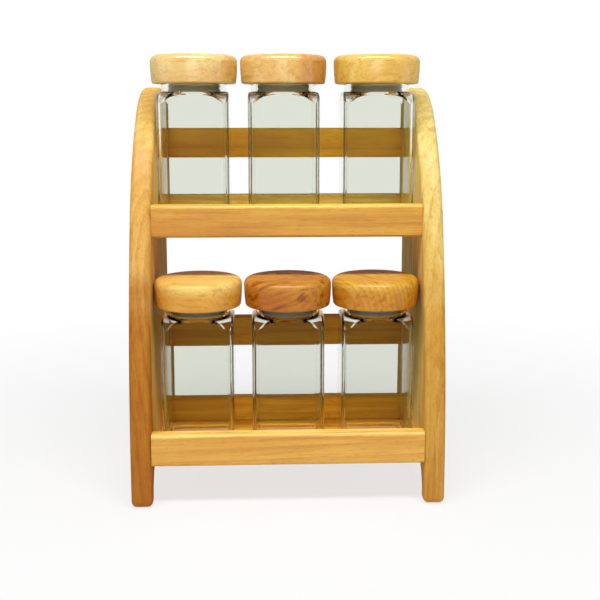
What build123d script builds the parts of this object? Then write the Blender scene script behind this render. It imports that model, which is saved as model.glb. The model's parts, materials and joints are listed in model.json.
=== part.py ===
from build123d import *
import math
import os

# Two-tier wooden spice rack with six square glass jars and round wooden lids.
# Millimetres, +Z up. The front of the rack faces -Y.
# The origin lies on the floor, midway between the side panels and midway from front to back.

# Side panels
INNER_WIDTH = 220.0
PANEL_THICKNESS = 17.0
PANEL_DEPTH = 150.0
PANEL_HEIGHT = 338.0
PANEL_ROUNDOVER = 4.2
TOP_REAR_CORNER_RADIUS = 7.0
TOP_FLAT_LENGTH = 0.8

# Front edge of a side panel: an upright foot, two arcs that lean back more and more, and the crest
# Each arc ends so far behind the front and so far below the panel's top
CURVE_START_HEIGHT = 20.0
LONG_ARC_SETBACK = 31.3
LONG_ARC_DROP = 108.0
MIDDLE_ARC_SETBACK = 80.1
MIDDLE_ARC_DROP = 26.0

# Feet of a side panel and the arch between them
FOOT_TOE_RADIUS = 6.0
FOOT_FLAT_LENGTH = 3.0
FOOT_HEEL_RADIUS = 6.0
ARCH_HEIGHT = 28.0

# Rails, stays and shelf boards
RAIL_HEIGHT = 26.5
RAIL_THICKNESS = 12.0
RAIL_ROUNDOVER = 2.5
SHELF_THICKNESS = 6.0
REBATE_DEPTH = 5.0

# Places of the two trays and of the stays that keep the jars from falling backwards
LOWER_TRAY_HEIGHT = 34.5
TIER_SPACING = 181.0
LOWER_TRAY_SETBACK = 2.0
UPPER_TRAY_SETBACK = 34.0
UPPER_TRAY_TO_REAR = 7.0
LOWER_STAY_HEIGHT = 109.0
UPPER_STAY_HEIGHT = 275.5

# Hidden dowels
DOWEL_DIAMETER = 6.0
DOWEL_LENGTH = 28.0
DOWEL_DEPTH_IN_PANEL = 10.0
DOWEL_FIRST_HEIGHT = 10.5
DOWEL_SPACING = 9.5
DOWEL_CLEARANCE = 0.05

# Jar
JAR_SIDE = 59.0
JAR_CORNER_RADIUS = 9.0
JAR_HEIGHT = 118.0
JAR_WALL = 3.0
JAR_BASE = 6.0
JAR_FOOT_ROUND = 2.5
INNER_FLOOR_ROUND = 3.0
SHOULDER_RADIUS = 38.15
SHOULDER_EDGE_RADIUS = 12.0
SHOULDER_ROUND = 2.2
NECK_RADIUS = 27.0
NECK_WALL = 5.0
NECK_HEIGHT = 6.4
RIM_ROUND = 1.0

# Lid, its turned plug and the seal round the plug
LID_RADIUS = 36.0
LID_FOOT_RADIUS = 34.8
LID_HEIGHT = 23.2
LID_TOP_ROUND = 5.5
LID_FOOT_ROUND = 1.6
PLUG_DEPTH = 8.0
PLUG_GAP = 1.0
PLUG_EDGE_ROUND = 0.8
SEAL_HEIGHT = 4.2
SEAL_SEAT_DEPTH = 1.8
SEAL_GAP = 0.3
SEAL_FIN_HEIGHT = 1.2

# Where the jars stand from left to right, put down by hand
LOWER_JAR_PLACES = {"left": -73.4, "middle": 0.3, "right": 73.2}
UPPER_JAR_PLACES = {"left": -76.6, "middle": -2.2, "right": 76.0}
JAR_TO_FRONT_RAIL = 0.5

# Worked out from the sizes above
FRONT = -PANEL_DEPTH / 2
REAR = PANEL_DEPTH / 2
INNER_FACE = INNER_WIDTH / 2
UPPER_TRAY_HEIGHT = LOWER_TRAY_HEIGHT + TIER_SPACING
TRAY_DEPTH = PANEL_DEPTH - UPPER_TRAY_SETBACK - UPPER_TRAY_TO_REAR
ARCH_CORNER_RADIUS = ARCH_HEIGHT - FOOT_HEEL_RADIUS
BORE_RADIUS = NECK_RADIUS - NECK_WALL


def front_curves():
    """The curves of a panel's front edge, from the foot up to the level crest, each tangent to the next."""
    foot = (FRONT, CURVE_START_HEIGHT)
    long_top = (FRONT + LONG_ARC_SETBACK, PANEL_HEIGHT - LONG_ARC_DROP)
    middle_top = (FRONT + MIDDLE_ARC_SETBACK, PANEL_HEIGHT - MIDDLE_ARC_DROP)
    crest_end = (REAR - TOP_REAR_CORNER_RADIUS - TOP_FLAT_LENGTH, PANEL_HEIGHT)
    long_arc = TangentArc(foot, long_top, tangent=(0, 1))
    middle_arc = TangentArc(long_top, middle_top, tangent=long_arc % 1)
    crest = Spline(middle_top, crest_end, tangents=[middle_arc % 1, (1, 0)])
    return [long_arc, middle_arc, crest]


def panel_outline():
    """Closed outline of a side panel, in the plane of front-to-back and height."""
    curves = front_curves()
    crest = curves[-1] @ 1
    corner = TOP_REAR_CORNER_RADIUS
    foot_length = FOOT_TOE_RADIUS + FOOT_FLAT_LENGTH + FOOT_HEEL_RADIUS
    arch_front = FRONT + foot_length
    arch_rear = REAR - foot_length
    heel_height = FOOT_HEEL_RADIUS
    toe_height = FOOT_TOE_RADIUS
    edges = list(curves)
    edges.append(Line((crest.X, crest.Y), (REAR - corner, PANEL_HEIGHT)))
    edges.append(CenterArc((REAR - corner, PANEL_HEIGHT - corner), corner, 90, -90))
    edges.append(Line((REAR, PANEL_HEIGHT - corner), (REAR, toe_height)))
    edges.append(CenterArc((REAR - toe_height, toe_height), toe_height, 0, -90))
    edges.append(Line((REAR - toe_height, 0), (arch_rear + heel_height, 0)))
    edges.append(CenterArc((arch_rear + heel_height, heel_height), heel_height, 270, -90))
    edges.append(CenterArc((arch_rear - ARCH_CORNER_RADIUS, heel_height), ARCH_CORNER_RADIUS, 0, 90))
    edges.append(
        Line((arch_rear - ARCH_CORNER_RADIUS, ARCH_HEIGHT), (arch_front + ARCH_CORNER_RADIUS, ARCH_HEIGHT))
    )
    edges.append(CenterArc((arch_front + ARCH_CORNER_RADIUS, heel_height), ARCH_CORNER_RADIUS, 90, 90))
    edges.append(CenterArc((arch_front - heel_height, heel_height), heel_height, 0, -90))
    edges.append(Line((arch_front - heel_height, 0), (FRONT + toe_height, 0)))
    edges.append(CenterArc((FRONT + toe_height, toe_height), toe_height, 270, -90))
    edges.append(Line((FRONT, toe_height), (FRONT, CURVE_START_HEIGHT)))
    return edges


def cross_dowel(x, y, z, radius, length):
    """Cylinder along X that starts at x; a negative length runs towards -X."""
    return Pos(x + length / 2, y, z) * Rot(0, 90, 0) * Cylinder(radius, abs(length))


def dowel_places(y, bottom):
    """Centres of the two dowels in one end of a rail, as (y, z)."""
    first = bottom + DOWEL_FIRST_HEIGHT
    return [(y, first), (y, first + DOWEL_SPACING)]


def box(x_from, x_to, y_from, y_to, z_from, z_to):
    """Box between two corners."""
    size = (x_to - x_from, y_to - y_from, z_to - z_from)
    centre = ((x_from + x_to) / 2, (y_from + y_to) / 2, (z_from + z_to) / 2)
    return Pos(*centre) * Box(*size)


def rail_solid(front, bottom):
    """Plain rail between the side panels, with its four long edges rounded."""
    rail = box(-INNER_FACE, INNER_FACE, front, front + RAIL_THICKNESS, bottom, bottom + RAIL_HEIGHT)
    return fillet(rail.edges().filter_by(Axis.X), RAIL_ROUNDOVER)


def rail_with_sockets(front, bottom):
    """Rail with the dowel sockets bored in both ends."""
    rail = rail_solid(front, bottom)
    depth = DOWEL_LENGTH - DOWEL_DEPTH_IN_PANEL
    radius = DOWEL_DIAMETER / 2 + DOWEL_CLEARANCE
    for y, z in dowel_places(front + RAIL_THICKNESS / 2, bottom):
        rail -= cross_dowel(-INNER_FACE, y, z, radius, depth)
        rail -= cross_dowel(INNER_FACE, y, z, radius, -depth)
    return rail


def tray_rail(front, bottom, rebate_from, rebate_to):
    """Front or back rail of a tray, with the rebate in which the shelf board lies."""
    rail = rail_with_sockets(front, bottom)
    return rail - box(-INNER_FACE, INNER_FACE, rebate_from, rebate_to, bottom - 1, bottom + SHELF_THICKNESS)


def dowel_set(front, bottom):
    """The four dowels of one rail, two in each end, as one group of separate solids."""
    pins = []
    start = INNER_FACE + DOWEL_DEPTH_IN_PANEL
    for y, z in dowel_places(front + RAIL_THICKNESS / 2, bottom):
        pins.append(cross_dowel(-start, y, z, DOWEL_DIAMETER / 2, DOWEL_LENGTH))
        pins.append(cross_dowel(start, y, z, DOWEL_DIAMETER / 2, -DOWEL_LENGTH))
    return Compound(children=pins)


# Front face and bottom of every rail and stay, by name
LOWER_FRONT = FRONT + LOWER_TRAY_SETBACK
UPPER_FRONT = FRONT + UPPER_TRAY_SETBACK
BACK_RAIL_OFFSET = TRAY_DEPTH - RAIL_THICKNESS
CROSS_PIECES = {
    "lower_front_rail": (LOWER_FRONT, LOWER_TRAY_HEIGHT),
    "upper_front_rail": (UPPER_FRONT, UPPER_TRAY_HEIGHT),
    "lower_shelf_back_rail": (LOWER_FRONT + BACK_RAIL_OFFSET, LOWER_TRAY_HEIGHT),
    "upper_shelf_back_rail": (UPPER_FRONT + BACK_RAIL_OFFSET, UPPER_TRAY_HEIGHT),
    "lower_back_stay": (LOWER_FRONT + BACK_RAIL_OFFSET, LOWER_STAY_HEIGHT),
    "upper_back_stay": (UPPER_FRONT + BACK_RAIL_OFFSET, UPPER_STAY_HEIGHT),
}


def side_panel(side):
    """Side panel with rounded edges and blind dowel holes; side is -1 for the left and 1 for the right."""
    face = make_face(Plane.YZ * (Curve() + panel_outline()))
    panel = extrude(face, PANEL_THICKNESS, dir=(1, 0, 0))
    long_edges = panel.edges() - panel.edges().filter_by(Axis.X)
    panel = fillet(long_edges, PANEL_ROUNDOVER)
    panel = Pos(INNER_FACE if side > 0 else -INNER_FACE - PANEL_THICKNESS, 0, 0) * panel
    radius = DOWEL_DIAMETER / 2 + DOWEL_CLEARANCE
    for front, bottom in CROSS_PIECES.values():
        for y, z in dowel_places(front + RAIL_THICKNESS / 2, bottom):
            panel -= cross_dowel(side * INNER_FACE, y, z, radius, side * DOWEL_DEPTH_IN_PANEL)
    return panel


def shelf_board(front, bottom):
    """Shelf board, flush with the underside of its rails and glued into their rebates."""
    start = front + RAIL_THICKNESS - REBATE_DEPTH
    end = front + BACK_RAIL_OFFSET + REBATE_DEPTH
    return box(-INNER_FACE, INNER_FACE, start, end, bottom, bottom + SHELF_THICKNESS)


def rounded_block(side, corner, bottom, top):
    """Upright square block with round corners."""
    return Pos(0, 0, bottom) * extrude(RectangleRounded(side, side, corner), top - bottom)


def shoulder_dome(radius, edge_radius, top_radius, top_height, bottom):
    """Turned dome with a round edge that cuts the block to an arched shoulder; a cylinder below the edge."""
    reach = max(0.0, top_radius - (radius - edge_radius))
    end_angle = math.degrees(math.acos(reach / edge_radius))
    spring = top_height - edge_radius * math.sin(math.radians(end_angle))
    arc = CenterArc((radius - edge_radius, spring), edge_radius, 0, end_angle)
    edges = [
        Line((0, bottom), (radius, bottom)),
        Line((radius, bottom), (radius, spring)),
        arc,
        Line(arc @ 1, (0, top_height)),
        Line((0, top_height), (0, bottom)),
    ]
    return revolve(make_face(Plane.XZ * (Curve() + edges)), Axis.Z)


def jar_solid():
    """Square glass jar with a round neck, standing on the plane z = 0."""
    neck_base = JAR_HEIGHT - NECK_HEIGHT
    outside = rounded_block(JAR_SIDE, JAR_CORNER_RADIUS, 0, neck_base)
    outside &= shoulder_dome(SHOULDER_RADIUS, SHOULDER_EDGE_RADIUS, NECK_RADIUS, neck_base, 0)
    outside = fillet(outside.edges().filter_by(GeomType.BSPLINE), SHOULDER_ROUND)
    outside = fillet(outside.edges().group_by(Axis.Z)[0], JAR_FOOT_ROUND)
    neck = Pos(0, 0, neck_base / 2 + JAR_HEIGHT / 2) * Cylinder(NECK_RADIUS, JAR_HEIGHT - neck_base)
    neck = fillet(neck.edges().group_by(Axis.Z)[-1], RIM_ROUND)
    outside += neck
    inner_side = JAR_SIDE - 2 * JAR_WALL
    inner_top = neck_base - JAR_WALL
    inside = rounded_block(inner_side, JAR_CORNER_RADIUS - JAR_WALL, JAR_BASE, inner_top)
    inner_reach = SHOULDER_RADIUS - JAR_WALL
    inner_edge = SHOULDER_EDGE_RADIUS - JAR_WALL
    inside &= shoulder_dome(inner_reach, inner_edge, BORE_RADIUS, inner_top, JAR_BASE)
    inside = fillet(inside.edges().group_by(Axis.Z)[0], INNER_FLOOR_ROUND)
    bore_bottom = inner_top - JAR_WALL
    bore_height = JAR_HEIGHT + 1 - bore_bottom
    inside += Pos(0, 0, bore_bottom + bore_height / 2) * Cylinder(BORE_RADIUS, bore_height)
    return outside - inside


def lid_solid():
    """Turned wooden lid with its plug, resting on the plane z = 0 with the plug below it."""
    widest = LID_HEIGHT - LID_TOP_ROUND
    plug_radius = BORE_RADIUS - PLUG_GAP
    seat_radius = plug_radius - SEAL_SEAT_DEPTH
    seat_bottom = -PLUG_DEPTH / 2 - SEAL_HEIGHT / 2
    seat_top = seat_bottom + SEAL_HEIGHT
    outline = Polyline(
        (0, -PLUG_DEPTH),
        (plug_radius, -PLUG_DEPTH),
        (plug_radius, seat_bottom),
        (seat_radius, seat_bottom),
        (seat_radius, seat_top),
        (plug_radius, seat_top),
        (plug_radius, 0),
        (LID_FOOT_RADIUS, 0),
    )
    side = ThreePointArc(
        (LID_FOOT_RADIUS, 0),
        (LID_RADIUS - (LID_RADIUS - LID_FOOT_RADIUS) / 4, widest / 2),
        (LID_RADIUS, widest),
    )
    shoulder = CenterArc((LID_RADIUS - LID_TOP_ROUND, widest), LID_TOP_ROUND, 0, 90)
    top = Polyline((LID_RADIUS - LID_TOP_ROUND, LID_HEIGHT), (0, LID_HEIGHT), (0, -PLUG_DEPTH))
    lid = revolve(make_face(Plane.XZ * (Curve() + [outline, side, shoulder, top])), Axis.Z)
    foot = lid.edges().filter_by(GeomType.CIRCLE).filter_by(
        lambda rim: abs(rim.radius - LID_FOOT_RADIUS) < 0.01 and abs(rim.center().Z) < 0.01
    )
    lid = fillet(foot, LID_FOOT_ROUND)
    return fillet(lid.edges().group_by(Axis.Z)[0], PLUG_EDGE_ROUND)


def seal_solid():
    """Silicone ring in the plug's groove, with two thin fins that reach to the bore."""
    seat_radius = BORE_RADIUS - PLUG_GAP - SEAL_SEAT_DEPTH
    body_radius = BORE_RADIUS - PLUG_GAP
    fin_radius = BORE_RADIUS - SEAL_GAP
    ring = Cylinder(body_radius, SEAL_HEIGHT)
    for place in (-1, 1):
        fin_height = place * (SEAL_HEIGHT - SEAL_FIN_HEIGHT) / 2
        ring += Pos(0, 0, fin_height) * Cylinder(fin_radius, SEAL_FIN_HEIGHT)
    ring -= Cylinder(seat_radius, SEAL_HEIGHT + 1)
    return Pos(0, 0, -PLUG_DEPTH / 2) * ring


def save(shape, name):
    """Writes one sub-part's STEP file."""
    export_step(shape, "parts/" + name + ".step")


def save_tier(tier, places, front, tray_height):
    """Writes the glass, lid and seal of the three jars of one tray."""
    y = front + RAIL_THICKNESS + JAR_TO_FRONT_RAIL + JAR_SIDE / 2
    floor = tray_height + SHELF_THICKNESS
    for place, x in places.items():
        name = tier + "_" + place
        save(Pos(x, y, floor) * jar_solid(), name + "_jar")
        save(Pos(x, y, floor + JAR_HEIGHT) * lid_solid(), name + "_lid")
        save(Pos(x, y, floor + JAR_HEIGHT) * seal_solid(), name + "_lid_seal")


os.makedirs("parts", exist_ok=True)
save(side_panel(-1), "side_panel_left")
save(side_panel(1), "side_panel_right")
for name, (front, bottom) in CROSS_PIECES.items():
    if name.endswith("stay"):
        save(rail_with_sockets(front, bottom), name)
    elif name.endswith("front_rail"):
        inner = front + RAIL_THICKNESS
        save(tray_rail(front, bottom, inner - REBATE_DEPTH, inner), name)
    else:
        save(tray_rail(front, bottom, front, front + REBATE_DEPTH), name)
    save(dowel_set(front, bottom), name + "_dowels")
save(shelf_board(LOWER_FRONT, LOWER_TRAY_HEIGHT), "lower_shelf_board")
save(shelf_board(UPPER_FRONT, UPPER_TRAY_HEIGHT), "upper_shelf_board")
save_tier("lower", LOWER_JAR_PLACES, LOWER_FRONT, LOWER_TRAY_HEIGHT)
save_tier("upper", UPPER_JAR_PLACES, UPPER_FRONT, UPPER_TRAY_HEIGHT)
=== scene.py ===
"""Looks of a two-tier wooden rack with six square glass jars, over its CAD model.

Lengths are millimetres in the fields below and metres in the scene.
The rack's front faces -Y.
"""

import json
import logging
import math
from dataclasses import dataclass, field
from enum import Enum

import bpy
from mathutils import Euler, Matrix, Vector

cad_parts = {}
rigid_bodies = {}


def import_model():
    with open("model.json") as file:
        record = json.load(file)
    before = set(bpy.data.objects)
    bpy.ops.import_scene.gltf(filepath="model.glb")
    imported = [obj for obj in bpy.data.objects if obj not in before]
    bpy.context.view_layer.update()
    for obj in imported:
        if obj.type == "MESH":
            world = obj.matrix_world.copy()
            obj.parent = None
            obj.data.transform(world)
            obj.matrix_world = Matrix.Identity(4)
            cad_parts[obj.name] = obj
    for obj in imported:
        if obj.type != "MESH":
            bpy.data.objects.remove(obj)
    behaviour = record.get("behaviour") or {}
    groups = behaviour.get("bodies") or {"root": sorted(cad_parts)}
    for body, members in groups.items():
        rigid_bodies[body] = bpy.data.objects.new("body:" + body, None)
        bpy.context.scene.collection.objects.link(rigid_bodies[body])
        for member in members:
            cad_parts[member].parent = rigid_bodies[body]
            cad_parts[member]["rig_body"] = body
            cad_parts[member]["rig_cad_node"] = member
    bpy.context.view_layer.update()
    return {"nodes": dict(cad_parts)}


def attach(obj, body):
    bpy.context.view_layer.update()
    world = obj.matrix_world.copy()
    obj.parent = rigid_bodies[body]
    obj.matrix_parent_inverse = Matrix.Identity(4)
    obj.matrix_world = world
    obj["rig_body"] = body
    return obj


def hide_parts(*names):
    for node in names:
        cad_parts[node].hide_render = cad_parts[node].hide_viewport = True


log = logging.getLogger("spice_rack")
MM = 0.001
Colour = tuple[float, float, float]

# How the wood's patterns are squeezed, along the fibres and across them both ways
CLOUD_GRAIN = (7.0, 38.0, 38.0)
STREAK_GRAIN = (16.0, 620.0, 620.0)
PORE_GRAIN = (150.0, 2600.0, 2600.0)
VEIN_GRAIN = (5.0, 120.0, 120.0)
BAND_GRAIN = (8.0, 210.0, 210.0)
DRIFT_GRAIN = (5.0, 22.0, 22.0)
RING_GRAIN = (0.12, 1.0, 1.0)
# How the edges of the tone bands and the painted-highlight bands waver
BAND_EDGE_GRAIN = (0.35, 1.6, 1.6)
RING_PERIOD = 0.314  # metres between the rings of a wave texture of scale 1
PORE_STRENGTH = 0.38
LACQUER_IOR = 3.2
GRAIN_RELIEF = 0.0003

# Merged copies of the CAD's pieces
MERGE_DISTANCE = 0.000002
SMOOTH_ANGLE = math.radians(32)

# How often light may turn inside the jars
MAX_BOUNCES = 24
GLOSSY_BOUNCES = 16


def srgb(red: int, green: int, blue: int) -> Colour:
    """Turns a screen colour into the linear colour that shaders use.

    Args:
        red: Red on the screen, 0 to 255.
        green: Green on the screen, 0 to 255.
        blue: Blue on the screen, 0 to 255.

    Returns:
        The same colour as three linear values.
    """

    def linear(value: int) -> float:
        """Returns one screen value as a linear one."""
        share = value / 255
        return share / 12.92 if share <= 0.04045 else ((share + 0.055) / 1.055) ** 2.4

    return linear(red), linear(green), linear(blue)


class Fibre(Enum):
    """Which way a board's fibres run, as the turn that lays them along X."""

    ALONG_WIDTH = (0.0, 0.0, 0.0)
    ALONG_DEPTH = (0.0, 0.0, -90.0)
    ALONG_HEIGHT = (0.0, 90.0, 0.0)


class NodeSheet:
    """A material with a clean node tree and short ways to wire it."""

    def __init__(self, name: str) -> None:
        """Makes the material.

        Args:
            name: The material's name.
        """
        self.material = bpy.data.materials.new(name)
        self.material.use_nodes = True
        self.tree = self.material.node_tree
        self.tree.nodes.clear()
        self.output = self.tree.nodes.new("ShaderNodeOutputMaterial")

    def add(self, kind: str, **settings: object) -> bpy.types.Node:
        """Adds a node.

        Args:
            kind: The node's type without the ShaderNode prefix.
            **settings: Properties of the node, or a socket's name and its value.

        Returns:
            The new node.
        """
        node = self.tree.nodes.new("ShaderNode" + kind)
        for key, value in settings.items():
            if hasattr(node, key):
                setattr(node, key, value)
            else:
                node.inputs[key.replace("_", " ")].default_value = value
        return node

    def link(self, source: bpy.types.NodeSocket, target: bpy.types.NodeSocket) -> None:
        """Wires one socket to another."""
        self.tree.links.new(source, target)

    def maths(
        self, operation: str, first: object, second: object = None, clamp: bool = False
    ) -> bpy.types.NodeSocket:
        """Adds one sum.

        Args:
            operation: The Math node's operation.
            first: A socket or a number.
            second: A socket or a number, where the operation takes two.
            clamp: Whether the result is kept from 0 to 1.

        Returns:
            The result's socket.
        """
        node = self.add("Math", operation=operation, use_clamp=clamp)
        for place, value in enumerate((first, second)):
            if isinstance(value, bpy.types.NodeSocket):
                self.link(value, node.inputs[place])
            elif value is not None:
                node.inputs[place].default_value = value
        return node.outputs[0]

    def stretch(
        self,
        value: bpy.types.NodeSocket,
        low: float,
        high: float,
        new_low: float = 0.0,
        new_high: float = 1.0,
    ) -> bpy.types.NodeSocket:
        """Spreads part of a value's range over a new one, with soft ends.

        Args:
            value: The socket to read.
            low: The value that becomes new_low.
            high: The value that becomes new_high.
            new_low: The result at low.
            new_high: The result at high.

        Returns:
            The result's socket.
        """
        node = self.add("MapRange", interpolation_type="SMOOTHSTEP")
        self.link(value, node.inputs[0])
        for place, number in enumerate((low, high, new_low, new_high), start=1):
            node.inputs[place].default_value = number
        return node.outputs[0]

    def mix(
        self,
        share: object,
        first: object,
        second: object,
        blend: str = "MIX",
    ) -> bpy.types.NodeSocket:
        """Mixes two colours.

        Args:
            share: How much of the second colour, a socket or a number.
            first: A colour or a socket.
            second: A colour or a socket.
            blend: The Mix node's blend type.

        Returns:
            The mixed colour's socket.
        """
        node = self.add("Mix", data_type="RGBA", blend_type=blend)
        for socket, value in (
            (node.inputs[0], share),
            (node.inputs[6], first),
            (node.inputs[7], second),
        ):
            if isinstance(value, bpy.types.NodeSocket):
                self.link(value, socket)
            elif isinstance(value, tuple):
                socket.default_value = (*value, 1.0)
            else:
                socket.default_value = value
        return node.outputs[2]

    def noise(
        self,
        vector: bpy.types.NodeSocket,
        scale: float,
        detail: float = 2.0,
        roughness: float = 0.5,
        warp: float = 0.0,
    ) -> bpy.types.NodeSocket:
        """Adds cloudy noise.

        Args:
            vector: Where it is read.
            scale: Clouds in a unit of the vector.
            detail: Finer layers on the clouds.
            roughness: How strong the finer layers are.
            warp: How far the clouds are bent.

        Returns:
            The noise value's socket.
        """
        node = self.add(
            "TexNoise", Scale=scale, Detail=detail, Roughness=roughness, Distortion=warp
        )
        self.link(vector, node.inputs["Vector"])
        return node.outputs[0]

    def mapped(
        self,
        vector: bpy.types.NodeSocket,
        shift: Colour = (0.0, 0.0, 0.0),
        turn: Colour = (0.0, 0.0, 0.0),
        scale: Colour = (1.0, 1.0, 1.0),
    ) -> bpy.types.NodeSocket:
        """Moves, turns and scales a pattern's coordinates.

        Args:
            vector: The coordinates.
            shift: Added after the turn.
            turn: Degrees about each axis.
            scale: Factors on each axis before the turn.

        Returns:
            The new coordinates' socket.
        """
        node = self.add("Mapping")
        self.link(vector, node.inputs[0])
        node.inputs[1].default_value = shift
        node.inputs[2].default_value = [math.radians(a) for a in turn]
        node.inputs[3].default_value = scale
        return node.outputs[0]


@dataclass(frozen=True)
class WoodTone:
    """The colours of one kind of board."""

    pale: Colour
    body: Colour
    warm: Colour
    deep: Colour
    vein: Colour


class Across(Enum):
    """The direction in which a piece's colour changes, as an axis number."""

    WIDTH = 0
    DEPTH = 1
    HEIGHT = 2


@dataclass(frozen=True)
class ToneAndHighlightBand:
    """A deeper or paler strip of a board, which comes in from one place to another.
    Most are the wood's own tone; the pale ones on the top edges of the front rails and
    lower lids are painted highlights.
    """

    colour: Colour
    across: Across
    start: float
    full: float
    waver: float = 8.0


@dataclass(frozen=True)
class WoodFinish:
    """Satin lacquered hardwood with rings, streaks and pores along its own fibres."""

    name: str
    tone: WoodTone
    fibre: Fibre = Fibre.ALONG_WIDTH
    tilt: Colour = (0.0, 0.0, 0.0)
    heart: tuple[float, float] = (60.0, -45.0)
    ring_pitch: float = 7.0
    ring_strength: float = 0.45
    ring_waver: float = 2.2
    cloud_strength: float = 0.55
    streak_strength: float = 0.5
    band_strength: float = 0.45
    drift_strength: float = 0.5
    vein_strength: float = 0.35
    seed: float = 0.0
    # Strips of the wood's own tone, and painted highlights along rounded top edges
    tone_and_highlight_bands: tuple[ToneAndHighlightBand, ...] = ()
    cast: Colour = (1.0, 1.0, 1.0)
    roughness: float = 0.5
    coat: float = 0.2
    coat_roughness: float = 0.36
    bump: float = 0.35

    def material(self) -> bpy.types.Material:
        """Builds the material.

        Returns:
            The finished material.
        """
        sheet = NodeSheet(self.name)
        place = sheet.add("TexCoord").outputs["Object"]
        turn = tuple(a + b for a, b in zip(self.fibre.value, self.tilt))
        plank = sheet.mapped(
            place, (self.seed, self.heart[0] * MM, self.heart[1] * MM), turn
        )
        rings = self._rings(sheet, plank)
        clouds = sheet.noise(
            sheet.mapped(plank, scale=CLOUD_GRAIN), 1.0, 3.0, 0.55, 0.4
        )
        streaks = sheet.noise(sheet.mapped(plank, scale=STREAK_GRAIN), 1.0, 3.0, 0.6)
        pores = sheet.noise(sheet.mapped(plank, scale=PORE_GRAIN), 1.0, 1.0, 0.5)
        vein = sheet.noise(
            sheet.mapped(plank, scale=VEIN_GRAIN), 1.0, 4.0, 0.62, 0.8
        )
        bands = sheet.noise(
            sheet.mapped(plank, scale=BAND_GRAIN), 1.0, 3.0, 0.5, 0.5
        )
        drift = sheet.noise(sheet.mapped(plank, scale=DRIFT_GRAIN), 1.0, 2.0)
        tone = self.tone
        colour = sheet.mix(
            sheet.stretch(clouds, 0.32, 0.68, 0.0, self.cloud_strength),
            tone.body,
            tone.pale,
        )
        colour = sheet.mix(
            sheet.stretch(drift, 0.5, 0.68, 0.0, self.drift_strength),
            colour,
            tone.warm,
        )
        colour = sheet.mix(
            sheet.stretch(bands, 0.5, 0.7, 0.0, self.band_strength), colour, tone.deep
        )
        colour = sheet.mix(
            sheet.maths("MULTIPLY", rings, self.ring_strength), colour, tone.deep
        )
        colour = sheet.mix(
            sheet.stretch(streaks, 0.48, 0.72, 0.0, self.streak_strength),
            colour,
            tone.deep,
        )
        colour = sheet.mix(
            sheet.stretch(vein, 0.6, 0.74, 0.0, self.vein_strength), colour, tone.vein
        )
        colour = sheet.mix(
            sheet.stretch(pores, 0.6, 0.7, 0.0, PORE_STRENGTH), colour, tone.vein
        )
        # Multiplies in the strips of the wood's own tone and the painted highlights
        for tone_and_highlight in self.tone_and_highlight_bands:
            colour = self._toned_and_highlighted(sheet, place, colour, tone_and_highlight)
        colour = sheet.mix(1.0, colour, self.cast, "MULTIPLY")
        shader = sheet.add("BsdfPrincipled")
        shader.inputs["Coat Weight"].default_value = self.coat
        shader.inputs["Coat Roughness"].default_value = self.coat_roughness
        shader.inputs["Coat IOR"].default_value = LACQUER_IOR
        shader.inputs["Specular IOR Level"].default_value = 0.0
        sheet.link(colour, shader.inputs["Base Color"])
        sheet.link(
            sheet.stretch(
                streaks, 0.3, 0.75, self.roughness - 0.05, self.roughness + 0.1
            ),
            shader.inputs["Roughness"],
        )
        relief = sheet.add("Bump", Strength=self.bump, Distance=GRAIN_RELIEF)
        height = sheet.maths(
            "SUBTRACT",
            sheet.maths("MULTIPLY", streaks, 0.5),
            sheet.stretch(pores, 0.58, 0.7, 0.0, 0.7),
        )
        sheet.link(height, relief.inputs["Height"])
        sheet.link(relief.outputs[0], shader.inputs["Normal"])
        sheet.link(shader.outputs[0], sheet.output.inputs[0])
        return sheet.material

    def _rings(
        self, sheet: NodeSheet, plank: bpy.types.NodeSocket
    ) -> bpy.types.NodeSocket:
        """Adds growth rings about the tree's heart, with a soft and a sharp side.

        Args:
            sheet: The material's nodes.
            plank: Coordinates with the fibres along X.

        Returns:
            A value that is 1 on the dark line of each ring.
        """
        wave = sheet.add(
            "TexWave",
            wave_type="RINGS",
            rings_direction="X",
            wave_profile="SAW",
            Scale=RING_PERIOD / (self.ring_pitch * MM),
            Distortion=self.ring_waver,
            Detail=2.0,
            Detail_Scale=0.35,
            Detail_Roughness=0.45,
        )
        sheet.link(sheet.mapped(plank, scale=RING_GRAIN), wave.inputs["Vector"])
        rise = sheet.maths("POWER", wave.outputs["Fac"], 2.2)
        fall = sheet.stretch(wave.outputs["Fac"], 0.9, 1.0, 1.0, 0.0)
        return sheet.maths("MULTIPLY", rise, fall)

    def _toned_and_highlighted(
        self,
        sheet: NodeSheet,
        place: bpy.types.NodeSocket,
        colour: bpy.types.NodeSocket,
        tone_and_highlight: ToneAndHighlightBand,
    ) -> bpy.types.NodeSocket:
        """Multiplies a band's colour in over its part of the board, be it a strip of
        the wood's own tone or a painted highlight.

        Args:
            sheet: The material's nodes.
            place: Object coordinates.
            colour: The colour so far.
            tone_and_highlight: The band's colour and where it lies.

        Returns:
            The new colour's socket.
        """
        split = sheet.add("SeparateXYZ")
        sheet.link(place, split.inputs[0])
        long_waves = sheet.mapped(place, turn=self.fibre.value, scale=BAND_EDGE_GRAIN)
        waver = sheet.maths("SUBTRACT", sheet.noise(long_waves, 20.0, 3.0), 0.5)
        there = sheet.maths(
            "ADD",
            split.outputs[tone_and_highlight.across.value],
            sheet.maths("MULTIPLY", waver, tone_and_highlight.waver * MM),
        )
        share = sheet.stretch(there, tone_and_highlight.start * MM, tone_and_highlight.full * MM)
        return sheet.mix(share, colour, tone_and_highlight.colour, "MULTIPLY")


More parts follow.
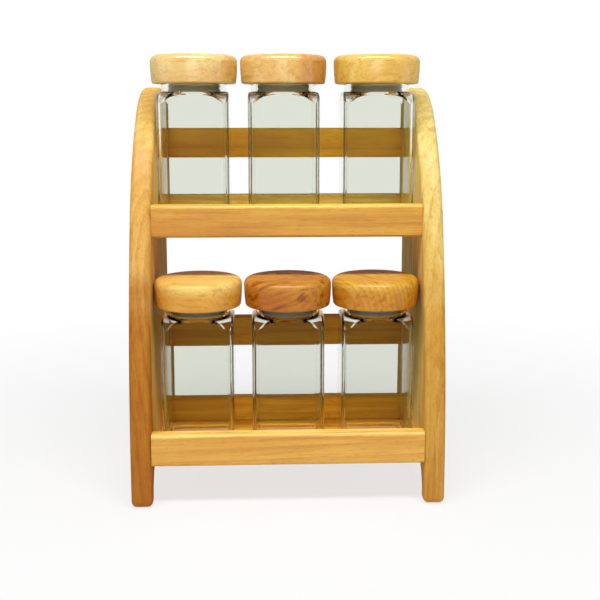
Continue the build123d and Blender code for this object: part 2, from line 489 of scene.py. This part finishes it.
@dataclass(frozen=True)
class GlassFinish:
    """Clear pressed glass, faintly grey-green, with a slow ripple."""

    name: str
    tint: Colour = (0.855, 0.87, 0.82)
    sheen: Colour = (0.06, 0.065, 0.055)
    ripple: float = 0.025
    refraction: float = 1.4

    def material(self) -> bpy.types.Material:
        """Builds the material.

        Returns:
            The finished material.
        """
        sheet = NodeSheet(self.name)
        place = sheet.add("TexCoord").outputs["Object"]
        ripple = sheet.noise(
            sheet.mapped(place, scale=(60.0, 60.0, 22.0)), 1.0, 1.0, 0.4
        )
        relief = sheet.add("Bump", Strength=self.ripple, Distance=0.0012)
        sheet.link(ripple, relief.inputs["Height"])
        shader = sheet.add("BsdfPrincipled")
        shader.inputs["Base Color"].default_value = (*self.tint, 1.0)
        shader.inputs["Transmission Weight"].default_value = 1.0
        shader.inputs["Specular Tint"].default_value = (*self.sheen, 1.0)
        shader.inputs["IOR"].default_value = self.refraction
        smudge = sheet.noise(place, 40.0, 3.0)
        sheet.link(
            sheet.stretch(smudge, 0.45, 0.8, 0.0, 0.06), shader.inputs["Roughness"]
        )
        sheet.link(relief.outputs[0], shader.inputs["Normal"])
        sheet.link(shader.outputs[0], sheet.output.inputs[0])
        return sheet.material


@dataclass(frozen=True)
class SiliconeFinish:
    """Milky soft rubber of the lid seals."""

    name: str
    colour: Colour = (0.43, 0.40, 0.25)
    milk: Colour = (0.5, 0.48, 0.39)

    def material(self) -> bpy.types.Material:
        """Builds the material.

        Returns:
            The finished material.
        """
        sheet = NodeSheet(self.name)
        place = sheet.add("TexCoord").outputs["Object"]
        cloud = sheet.noise(place, 90.0, 3.0)
        colour = sheet.mix(cloud, self.colour, self.milk)
        shader = sheet.add("BsdfPrincipled")
        shader.inputs["Transmission Weight"].default_value = 0.6
        shader.inputs["IOR"].default_value = 1.41
        sheet.link(colour, shader.inputs["Base Color"])
        sheet.link(
            sheet.stretch(cloud, 0.3, 0.7, 0.38, 0.5), shader.inputs["Roughness"]
        )
        sheet.link(shader.outputs[0], sheet.output.inputs[0])
        return sheet.material


STRAW = WoodTone(
    srgb(250, 220, 138),
    srgb(232, 184, 90),
    srgb(224, 160, 74),
    srgb(202, 138, 46),
    srgb(152, 88, 24),
)
HONEY = WoodTone(
    srgb(240, 190, 94),
    srgb(220, 156, 60),
    srgb(210, 134, 50),
    srgb(184, 110, 30),
    srgb(138, 72, 16),
)
AMBER = WoodTone(
    srgb(224, 158, 72),
    srgb(198, 122, 42),
    srgb(182, 98, 30),
    srgb(144, 72, 16),
    srgb(98, 44, 8),
)


def dress(node: bpy.types.Object, finish: bpy.types.Material) -> None:
    """Gives every slot of a piece one finish.

    Args:
        node: The piece.
        finish: Its material.
    """
    if not node.material_slots:
        node.data.materials.append(finish)
    for slot in node.material_slots:
        slot.material = finish


def smoothed(node: bpy.types.Object, name: str) -> bpy.types.Object:
    """Makes the merged copy of a CAD piece that stands for it with smooth rounds.

    Args:
        node: The CAD node.
        name: The copy's name.

    Returns:
        The copy, the same shape with its faces joined and its rounds shaded smooth.
    """
    bpy.ops.object.select_all(action="DESELECT")
    node.select_set(True)
    bpy.context.view_layer.objects.active = node
    bpy.ops.object.duplicate()
    piece = bpy.context.object
    piece.name = name
    del piece["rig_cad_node"]
    bpy.ops.object.mode_set(mode="EDIT")
    bpy.ops.mesh.select_all(action="SELECT")
    if piece.data.has_custom_normals:
        bpy.ops.mesh.customdata_custom_splitnormals_clear()
    bpy.ops.mesh.remove_doubles(threshold=MERGE_DISTANCE)
    bpy.ops.object.mode_set(mode="OBJECT")
    bpy.ops.object.shade_smooth_by_angle(angle=SMOOTH_ANGLE)
    bpy.ops.object.modifier_add(type="WEIGHTED_NORMAL")
    weighted = piece.modifiers[-1]
    weighted.weight = 100
    weighted.keep_sharp = True
    bpy.ops.object.modifier_apply(modifier=weighted.name)
    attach(piece, node["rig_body"])
    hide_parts(node.name)
    return piece


@dataclass
class Framework:
    """The side panels and every board, rail, stay and dowel between them."""

    panel_staves: dict[str, tuple[ToneAndHighlightBand, ...]] = field(
        default_factory=lambda: {
            "left": (
                ToneAndHighlightBand((0.9, 0.78, 0.62), Across.DEPTH, 12, -44, 30.0),
                ToneAndHighlightBand((0.64, 0.41, 0.1), Across.DEPTH, -54, -62, 14.0),
            ),
            "right": (
                ToneAndHighlightBand((0.96, 0.86, 0.72), Across.DEPTH, 22, -46, 30.0),
                ToneAndHighlightBand((0.83, 0.62, 0.34), Across.DEPTH, -52, -67, 14.0),
            ),
        }
    )

    def finishes(self) -> dict[str, WoodFinish]:
        """Lists the boards' finishes.

        Returns:
            The finish of each wooden node of the framework, dowels apart.
        """
        return {
            "side_panel_left": WoodFinish(
                "wood_panel_left",
                STRAW,
                Fibre.ALONG_HEIGHT,
                tilt=(0.0, 2.0, 1.5),
                heart=(52.0, -96.0),
                ring_pitch=6.5,
                ring_strength=0.5,
                seed=0.31,
                tone_and_highlight_bands=self.panel_staves["left"],
                cast=(0.98, 1.03, 1.2),
                coat=0.07,
            ),
            "side_panel_right": WoodFinish(
                "wood_panel_right",
                STRAW,
                Fibre.ALONG_HEIGHT,
                tilt=(0.0, -1.2, 1.0),
                heart=(64.0, 158.0),
                ring_pitch=8.0,
                ring_strength=0.35,
                seed=1.7,
                tone_and_highlight_bands=self.panel_staves["right"],
                cast=(0.97, 1.2, 1.5),
                coat=0.07,
            ),
            "upper_front_rail": WoodFinish(
                "wood_upper_front_rail",
                HONEY,
                heart=(90.0, -210.0),
                tilt=(0.0, 0.4, 0.0),
                ring_pitch=9.0,
                ring_strength=0.3,
                seed=2.75,
                cast=(0.92, 0.88, 0.34),
                # Painted highlight: the rail is tinted paler along its rounded top edge
                tone_and_highlight_bands=(ToneAndHighlightBand((1.12, 1.5, 2.5), Across.HEIGHT, 238.4, 240.4, 1.0),),
            ),
            "lower_front_rail": WoodFinish(
                "wood_lower_front_rail",
                STRAW,
                heart=(88.0, -22.0),
                tilt=(0.0, 2.4, 0.5),
                ring_pitch=8.5,
                ring_strength=0.5,
                ring_waver=3.2,
                seed=0.9,
                cast=(0.98, 0.82, 0.4),
                # Painted highlight: the rail is tinted paler along its rounded top edge
                tone_and_highlight_bands=(ToneAndHighlightBand((1.1, 1.4, 2.3), Across.HEIGHT, 57.4, 59.4, 1.0),),
            ),
            "lower_shelf_back_rail": WoodFinish(
                "wood_lower_shelf_back_rail",
                HONEY,
                heart=(30.0, 60.0),
                seed=3.1,
                cast=(1.2, 1.28, 0.62),
                coat=0.04,
            ),
            "upper_shelf_back_rail": WoodFinish(
                "wood_upper_shelf_back_rail",
                HONEY,
                heart=(20.0, -150.0),
                seed=3.9,
                cast=(1.08, 1.62, 2.3),
                coat=0.04,
            ),
            "lower_back_stay": WoodFinish(
                "wood_lower_back_stay",
                HONEY,
                heart=(40.0, -60.0),
                seed=4.6,
                cast=(0.9, 0.92, 0.34),
                coat=0.04,
            ),
            "upper_back_stay": WoodFinish(
                "wood_upper_back_stay",
                HONEY,
                heart=(60.0, -330.0),
                seed=5.3,
                cast=(1.05, 1.1, 0.38),
                coat=0.04,
            ),
            "lower_shelf_board": WoodFinish(
                "wood_lower_shelf_board",
                HONEY,
                heart=(5.0, 30.0),
                seed=6.0,
                cast=(1.2, 1.2, 0.7),
                coat=0.04,
            ),
            "upper_shelf_board": WoodFinish(
                "wood_upper_shelf_board",
                HONEY,
                heart=(-10.0, -130.0),
                seed=6.8,
                cast=(1.08, 1.4, 1.7),
                coat=0.04,
            ),
        }

    def dress(self, nodes: dict[str, bpy.types.Object]) -> None:
        """Gives each board its own grain and the dowels end grain.

        Args:
            nodes: The CAD nodes by name.
        """
        for name, finish in self.finishes().items():
            dress(nodes[name], finish.material())
            log.info("%s: %s", name, finish.name)
        dowel = WoodFinish(
            "wood_dowels", STRAW, ring_pitch=2.0, ring_strength=0.3, seed=7.7
        ).material()
        for name, node in nodes.items():
            if name.endswith("_dowels"):
                dress(node, dowel)
                log.info("%s: wood_dowels", name)


@dataclass
class Jar:
    """One square glass jar with its turned lid and the lid's seal."""

    tier: str
    place: str
    tone: WoodTone
    turn: float
    tilt: float
    heart: tuple[float, float]
    ring_pitch: float
    ring_strength: float
    seed: float
    cast: Colour = (1.0, 1.0, 1.0)
    band_strength: float = 0.5
    # Strips of the lid's own tone, and the painted highlight of the lower lids
    tone_and_highlight_bands: tuple[ToneAndHighlightBand, ...] = ()
    coat: float = 0.24

    @property
    def name(self) -> str:
        """The start of the jar's node names."""
        return f"{self.tier}_{self.place}"

    def dress(
        self,
        nodes: dict[str, bpy.types.Object],
        glass: bpy.types.Material,
        silicone: bpy.types.Material,
    ) -> None:
        """Dresses the jar, its lid and its seal.

        Args:
            nodes: The CAD nodes by name.
            glass: The jars' glass.
            silicone: The seals' rubber.
        """
        jar = smoothed(nodes[self.name + "_jar"], self.name + "_glass")
        # Thin clear glass hardly shades what stands behind it
        jar.visible_shadow = False
        dress(jar, glass)
        dress(nodes[self.name + "_lid_seal"], silicone)
        finish = WoodFinish(
            f"wood_{self.name}_lid",
            self.tone,
            tilt=(0.0, self.tilt, self.turn),
            heart=self.heart,
            ring_pitch=self.ring_pitch,
            ring_strength=self.ring_strength,
            band_strength=self.band_strength,
            seed=self.seed,
            tone_and_highlight_bands=self.tone_and_highlight_bands,
            cast=self.cast,
            coat=self.coat,
            coat_roughness=0.24,
        )
        dress(nodes[self.name + "_lid"], finish.material())
        log.info("%s: glass jar, %s, seal", self.name, finish.name)


# Painted highlight: the lower lids are tinted paler towards their rounded top edge
LOWER_LID_PAINTED_HIGHLIGHT = (ToneAndHighlightBand((1.08, 1.42, 2.7), Across.HEIGHT, 169, 177, 4.0),)

JARS = (
    Jar(
        "upper",
        "left",
        STRAW,
        turn=12.0,
        tilt=4.0,
        heart=(60.0, -380.0),
        ring_pitch=8.0,
        ring_strength=0.15,
        seed=0.4,
        cast=(1.0, 1.1, 1.4),
    ),
    Jar(
        "upper",
        "middle",
        STRAW,
        turn=62.0,
        tilt=6.0,
        heart=(30.0, -340.0),
        ring_pitch=6.0,
        ring_strength=0.2,
        seed=1.3,
        cast=(0.98, 0.95, 1.0),
        tone_and_highlight_bands=(ToneAndHighlightBand((0.84, 0.66, 0.5), Across.WIDTH, 4, 16, 9.0),),
    ),
    Jar(
        "upper",
        "right",
        STRAW,
        turn=-10.0,
        tilt=3.0,
        heart=(80.0, -330.0),
        ring_pitch=7.0,
        ring_strength=0.3,
        seed=2.2,
        cast=(1.0, 1.0, 0.65),
    ),
    Jar(
        "lower",
        "left",
        STRAW,
        turn=8.0,
        tilt=-3.0,
        heart=(60.0, -190.0),
        ring_pitch=5.0,
        ring_strength=0.12,
        seed=3.4,
        cast=(0.98, 0.8, 0.42),
        tone_and_highlight_bands=LOWER_LID_PAINTED_HIGHLIGHT,
        coat=0.11,
    ),
    Jar(
        "lower",
        "middle",
        AMBER,
        turn=12.0,
        tilt=22.0,
        heart=(50.0, -150.0),
        ring_pitch=5.5,
        ring_strength=0.35,
        seed=4.5,
        cast=(0.98, 0.9, 0.38),
        band_strength=0.95,
        tone_and_highlight_bands=LOWER_LID_PAINTED_HIGHLIGHT,
        coat=0.11,
    ),
    Jar(
        "lower",
        "right",
        HONEY,
        turn=64.0,
        tilt=12.0,
        heart=(40.0, -140.0),
        ring_pitch=4.0,
        ring_strength=0.6,
        seed=5.1,
        cast=(0.92, 0.78, 0.3),
        band_strength=0.8,
        tone_and_highlight_bands=LOWER_LID_PAINTED_HIGHLIGHT,
        coat=0.11,
    ),
)


@dataclass
class Studio:
    """Floor, soft lamps, world and the camera at the photograph's angle."""

    camera_place: Colour = (-15.1, -782.4, 317.7)
    pitch: float = 8.5
    yaw: float = -2.19
    lens: float = 55.32
    shift: tuple[float, float] = (-0.0061, -0.0865)

    def build(self) -> None:
        """Sets the whole studio up."""
        self._camera()
        self._floor()
        self._world()
        self._lamp("key", (-40, -560, 1240), (0, -20, 190), (1500, 240), 18.0)
        self._lamp("fill", (-60, -1300, 430), (0, 0, 180), (700, 500), 2.2)
        self._lamp("left", (-1000, -160, 420), (0, 0, 170), (600, 600), 0.8)
        self._lamp("right", (1000, -160, 420), (0, 0, 170), (600, 600), 0.8)
        self._lamp("back", (0, 900, 900), (0, 0, 150), (600, 600), 1.2)
        log.info("studio: camera, floor, five soft lamps")

    def _camera(self) -> None:
        """Adds the camera."""
        data = bpy.data.cameras.new("camera")
        data.lens, data.sensor_width = self.lens, 36.0
        data.shift_x, data.shift_y = self.shift
        data.clip_start = 0.01
        camera = bpy.data.objects.new("camera", data)
        camera.location = Vector(self.camera_place) * MM
        camera.rotation_euler = Euler(
            (math.radians(90 - self.pitch), 0.0, math.radians(self.yaw))
        )
        bpy.context.scene.collection.objects.link(camera)
        bpy.context.scene.camera = camera

    def _lamp(
        self,
        name: str,
        place: Colour,
        aim: Colour,
        size: tuple[float, float],
        power: float,
    ) -> None:
        """Adds a soft lamp.

        Args:
            name: Its name.
            place: Where it hangs, in mm.
            aim: The point it faces, in mm.
            size: Its width and height, in mm.
            power: Its power in watts.
        """
        data = bpy.data.lights.new(name, "AREA")
        data.shape = "RECTANGLE"
        data.size, data.size_y = size[0] * MM, size[1] * MM
        data.energy = power
        lamp = bpy.data.objects.new(name, data)
        # Rays that leave a jar would otherwise meet a lamp as a bright panel
        lamp.visible_transmission = False
        lamp.location = Vector(place) * MM
        way = (Vector(aim) - Vector(place)).normalized()
        lamp.rotation_euler = way.to_track_quat("-Z", "Y").to_euler()
        bpy.context.scene.collection.objects.link(lamp)

    def _floor(self) -> None:
        """Adds the pale floor, which keeps the shadow and fades to white."""
        bpy.ops.object.select_all(action="DESELECT")
        bpy.ops.mesh.primitive_circle_add(
            vertices=96, radius=6.0, fill_type="NGON", location=(0, 0, -0.0002)
        )
        floor = bpy.context.object
        floor.name = "floor"
        sheet = NodeSheet("floor_paper")
        place = sheet.add("TexCoord").outputs["Object"]
        far = sheet.add("VectorMath", operation="LENGTH")
        sheet.link(place, far.inputs[0])
        seen = sheet.add("LightPath")
        ray = sheet.maths(
            "MAXIMUM",
            seen.outputs["Is Camera Ray"],
            sheet.maths(
                "MAXIMUM",
                seen.outputs["Is Glossy Ray"],
                seen.outputs["Is Transmission Ray"],
            ),
        )
        share = sheet.maths(
            "MULTIPLY", sheet.stretch(far.outputs["Value"], 0.12, 0.75, 0.72, 1.0), ray
        )
        paper = sheet.add("BsdfDiffuse", Color=(0.86, 0.86, 0.86, 1.0))
        white = sheet.add("Emission", Color=(1.0, 1.0, 1.0, 1.0), Strength=1.0)
        blend = sheet.add("MixShader")
        sheet.link(share, blend.inputs[0])
        sheet.link(paper.outputs[0], blend.inputs[1])
        sheet.link(white.outputs[0], blend.inputs[2])
        sheet.link(blend.outputs[0], sheet.output.inputs[0])
        floor.data.materials.append(sheet.material)

    def _world(self) -> None:
        """Makes the world soft grey light that is seen as white."""
        world = bpy.data.worlds.new("studio")
        world.use_nodes = True
        tree = world.node_tree
        tree.nodes.clear()
        seen = tree.nodes.new("ShaderNodeLightPath")
        both = tree.nodes.new("ShaderNodeMath")
        both.operation = "MAXIMUM"
        either = tree.nodes.new("ShaderNodeMath")
        either.operation = "MAXIMUM"
        glow = tree.nodes.new("ShaderNodeBackground")
        glow.inputs[0].default_value = (1.0, 1.0, 1.0, 1.0)
        glow.inputs[1].default_value = 0.08
        white = tree.nodes.new("ShaderNodeBackground")
        white.inputs[0].default_value = (1.0, 1.0, 1.0, 1.0)
        blend = tree.nodes.new("ShaderNodeMixShader")
        out = tree.nodes.new("ShaderNodeOutputWorld")
        tree.links.new(seen.outputs["Is Glossy Ray"], both.inputs[0])
        tree.links.new(seen.outputs["Is Transmission Ray"], both.inputs[1])
        tree.links.new(seen.outputs["Is Camera Ray"], either.inputs[0])
        tree.links.new(both.outputs[0], either.inputs[1])
        tree.links.new(either.outputs[0], blend.inputs[0])
        tree.links.new(glow.outputs[0], blend.inputs[1])
        tree.links.new(white.outputs[0], blend.inputs[2])
        tree.links.new(blend.outputs[0], out.inputs[0])
        bpy.context.scene.world = world


def main() -> None:
    """Loads the frame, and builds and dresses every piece."""
    logging.basicConfig(level=logging.INFO, format="%(name)s: %(message)s")
    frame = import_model()
    bpy.context.scene.view_settings.view_transform = "Standard"
    nodes = frame["nodes"]
    Framework().dress(nodes)
    glass = GlassFinish("glass_clear").material()
    silicone = SiliconeFinish("silicone_milky").material()
    for jar in JARS:
        jar.dress(nodes, glass, silicone)
    Studio().build()
    light = bpy.context.scene.cycles
    light.max_bounces = MAX_BOUNCES
    light.glossy_bounces = GLOSSY_BOUNCES
    light.transmission_bounces = MAX_BOUNCES
    bpy.context.view_layer.update()


if __name__ == "__main__":
    main()
